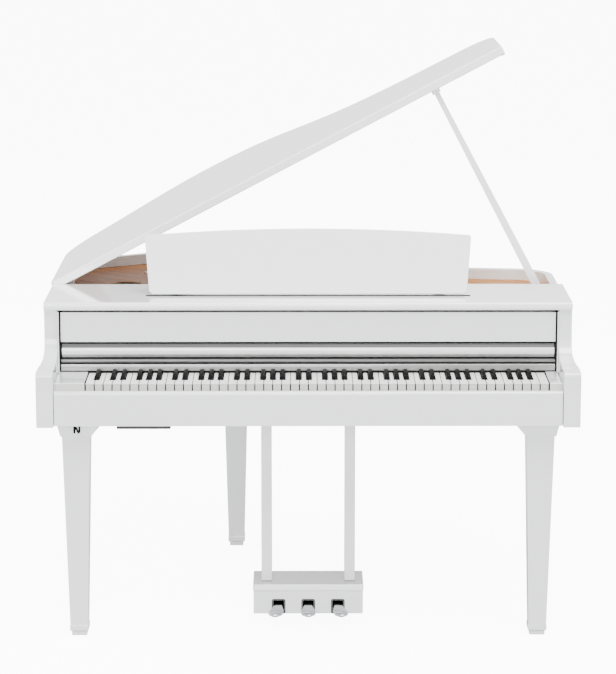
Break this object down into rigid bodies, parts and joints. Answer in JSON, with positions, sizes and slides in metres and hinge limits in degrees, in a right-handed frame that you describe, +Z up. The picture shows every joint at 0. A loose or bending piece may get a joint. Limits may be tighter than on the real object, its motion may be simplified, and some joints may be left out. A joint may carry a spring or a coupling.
{
  "type": "digital grand piano",
  "caption": "White digital grand piano with a propped curved lid, folding music desk, turning key cover, full keyboard, pedal lyre and tapered legs.",
  "frame": {"origin": "on the floor, under the middle of the whole outline", "axes": "+X to the player's right, +Y away from the player, +Z up"},
  "size_m": [1.43, 1.237, 1.5516],
  "materials": {
    "white_lacquer": "polished white lacquer over board",
    "ivory_key": "satin ivory-white key tops",
    "ebony_key": "satin black key tops",
    "chrome": "polished",
    "steel": "satin",
    "spruce": "clear satin varnish on straight-grained wood",
    "black_plastic": "fine matte",
    "circuit": "circuit board",
    "supply_case": "bare folded sheet",
    "rubber": "matte"
  },
  "bodies": {
    "case": {"arm_left": "white_lacquer", "arm_right": "white_lacquer", "rim_spine": "white_lacquer", "rim_tail": "white_lacquer", "rim_bent_side": "white_lacquer", "bottom_board": "white_lacquer", "front_top_board": "white_lacquer", "fallboard_rail": "white_lacquer", "key_block_left": "white_lacquer", "key_block_right": "white_lacquer", "key_slip": "white_lacquer", "leg_front_left": "white_lacquer", "leg_front_right": "white_lacquer", "leg_rear": "white_lacquer", "foot_front_left": "white_lacquer", "foot_front_right": "white_lacquer", "foot_rear": "white_lacquer", "pedal_box": "white_lacquer", "pedal_box_top": "white_lacquer", "lyre_post_left": "white_lacquer", "lyre_post_right": "white_lacquer", "soundboard": "spruce", "belly_rail": "spruce", "key_frame": "ivory_key", "lid_hinge": "steel", "prop_bracket": "steel", "desk_hinge_left": "steel", "desk_hinge_right": "steel", "jack_box": "black_plastic", "headphone_hanger": "black_plastic", "speaker_left": "black_plastic", "speaker_right": "black_plastic", "main_circuit_board": "circuit", "power_supply": "supply_case"},
    "key_cover": {"fallboard_nose": "white_lacquer", "fallboard_panel": "white_lacquer"},
    "cover_lip": {"fallboard_lip": "white_lacquer"},
    "lid": {"lid": "white_lacquer", "lid_hinge_leaf": "steel", "prop_cup": "steel", "lid_bumper": "rubber"},
    "prop": {"lid_prop": "white_lacquer"},
    "desk": {"music_desk": "white_lacquer"},
    "soft_pedal": {"pedal_soft": "chrome"},
    "sostenuto_pedal": {"pedal_sostenuto": "chrome"},
    "sustain_pedal": {"pedal_sustain": "chrome"},
    "power_switch": {"power_button": "steel"},
    "key_body_c": {"key_c": "ivory_key"},
    "key_body_c_sharp": {"key_c_sharp": "ebony_key"},
    "key_body_d": {"key_d": "ivory_key"},
    "key_body_d_sharp": {"key_d_sharp": "ebony_key"},
    "key_body_e": {"key_e": "ivory_key"},
    "key_body_f": {"key_f": "ivory_key"},
    "key_body_f_sharp": {"key_f_sharp": "ebony_key"},
    "key_body_g": {"key_g": "ivory_key"},
    "key_body_g_sharp": {"key_g_sharp": "ebony_key"},
    "key_body_a": {"key_a": "ivory_key"},
    "key_body_a_sharp": {"key_a_sharp": "ebony_key"},
    "key_body_b": {"key_b": "ivory_key"}
  },
  "joints": [
    {"name": "cover_turn", "type": "hinge", "parent": "case", "child": "key_cover", "pos_m": [0, -0.434, 0.763], "axis": [1, 0, 0], "range_deg": [0, 105]},
    {"name": "cover_lip_fold", "type": "hinge", "parent": "key_cover", "child": "cover_lip", "pos_m": [0, -0.434, 0.8673], "axis": [1, 0, 0], "range_deg": [0, 180]},
    {"name": "lid_open", "type": "hinge", "parent": "case", "child": "lid", "pos_m": [-0.7055, 0, 0.876], "axis": [0, -1, 0], "range_deg": [0, 17]},
    {"name": "prop_fold", "type": "hinge", "parent": "case", "child": "prop", "pos_m": [0.6495, -0.118, 0.861], "axis": [0, -1, 0], "range_deg": [0, 62.2]},
    {"name": "desk_fold", "type": "hinge", "parent": "case", "child": "desk", "pos_m": [0, -0.345, 0.8986], "axis": [-1, 0, 0], "range_deg": [0, 70]},
    {"name": "soft_press", "type": "hinge", "parent": "case", "child": "soft_pedal", "pos_m": [-0.0805, -0.3425, 0.062], "axis": [1, 0, 0], "range_deg": [0, 5], "stiffness_Nm_per_rad": 8, "springref_deg": -8.59},
    {"name": "sostenuto_press", "type": "hinge", "parent": "case", "child": "sostenuto_pedal", "pos_m": [0, -0.3425, 0.062], "axis": [1, 0, 0], "range_deg": [0, 5], "stiffness_Nm_per_rad": 8, "springref_deg": -8.59},
    {"name": "sustain_press", "type": "hinge", "parent": "case", "child": "sustain_pedal", "pos_m": [0.0805, -0.3425, 0.062], "axis": [1, 0, 0], "range_deg": [0, 5], "stiffness_Nm_per_rad": 8, "springref_deg": -8.59},
    {"name": "power_press", "type": "slide", "parent": "case", "child": "power_switch", "axis": [0, 0, -1], "range_m": [0, 0.001], "stiffness_N_per_m": 400, "springref_m": -0.002},
    {"name": "key_c_press", "type": "hinge", "parent": "case", "child": "key_body_c", "pos_m": [-0.03545, -0.3565, 0.69], "axis": [1, 0, 0], "range_deg": [0, 2.58], "stiffness_Nm_per_rad": 0.5, "springref_deg": -19.48},
    {"name": "key_c_sharp_press", "type": "hinge", "parent": "case", "child": "key_body_c_sharp", "pos_m": [-0.0255, -0.3565, 0.69], "axis": [1, 0, 0], "range_deg": [0, 2.58], "stiffness_Nm_per_rad": 0.5, "springref_deg": -19.48},
    {"name": "key_d_press", "type": "hinge", "parent": "case", "child": "key_body_d", "pos_m": [-0.01195, -0.3565, 0.69], "axis": [1, 0, 0], "range_deg": [0, 2.58], "stiffness_Nm_per_rad": 0.5, "springref_deg": -19.48},
    {"name": "key_d_sharp_press", "type": "hinge", "parent": "case", "child": "key_body_d_sharp", "pos_m": [0.0016, -0.3565, 0.69], "axis": [1, 0, 0], "range_deg": [0, 2.58], "stiffness_Nm_per_rad": 0.5, "springref_deg": -19.48},
    {"name": "key_e_press", "type": "hinge", "parent": "case", "child": "key_body_e", "pos_m": [0.01155, -0.3565, 0.69], "axis": [1, 0, 0], "range_deg": [0, 2.58], "stiffness_Nm_per_rad": 0.5, "springref_deg": -19.48},
    {"name": "key_f_press", "type": "hinge", "parent": "case", "child": "key_body_f", "pos_m": [0.03505, -0.3565, 0.69], "axis": [1, 0, 0], "range_deg": [0, 2.58], "stiffness_Nm_per_rad": 0.5, "springref_deg": -19.48},
    {"name": "key_f_sharp_press", "type": "hinge", "parent": "case", "child": "key_body_f_sharp", "pos_m": [0.0443, -0.3565, 0.69], "axis": [1, 0, 0], "range_deg": [0, 2.58], "stiffness_Nm_per_rad": 0.5, "springref_deg": -19.48},
    {"name": "key_g_press", "type": "hinge", "parent": "case", "child": "key_body_g", "pos_m": [0.05855, -0.3565, 0.69], "axis": [1, 0, 0], "range_deg": [0, 2.58], "stiffness_Nm_per_rad": 0.5, "springref_deg": -19.48},
    {"name": "key_g_sharp_press", "type": "hinge", "parent": "case", "child": "key_body_g_sharp", "pos_m": [0.0703, -0.3565, 0.69], "axis": [1, 0, 0], "range_deg": [0, 2.58], "stiffness_Nm_per_rad": 0.5, "springref_deg": -19.48},
    {"name": "key_a_press", "type": "hinge", "parent": "case", "child": "key_body_a", "pos_m": [0.08205, -0.3565, 0.69], "axis": [1, 0, 0], "range_deg": [0, 2.58], "stiffness_Nm_per_rad": 0.5, "springref_deg": -19.48},
    {"name": "key_a_sharp_press", "type": "hinge", "parent": "case", "child": "key_body_a_sharp", "pos_m": [0.0963, -0.3565, 0.69], "axis": [1, 0, 0], "range_deg": [0, 2.58], "stiffness_Nm_per_rad": 0.5, "springref_deg": -19.48},
    {"name": "key_b_press", "type": "hinge", "parent": "case", "child": "key_body_b", "pos_m": [0.10555, -0.3565, 0.69], "axis": [1, 0, 0], "range_deg": [0, 2.58], "stiffness_Nm_per_rad": 0.5, "springref_deg": -19.48}
  ],
  "couplings": [
    {"joint": "cover_lip_fold", "follows": "cover_turn", "ratio": 1.714}
  ]
}
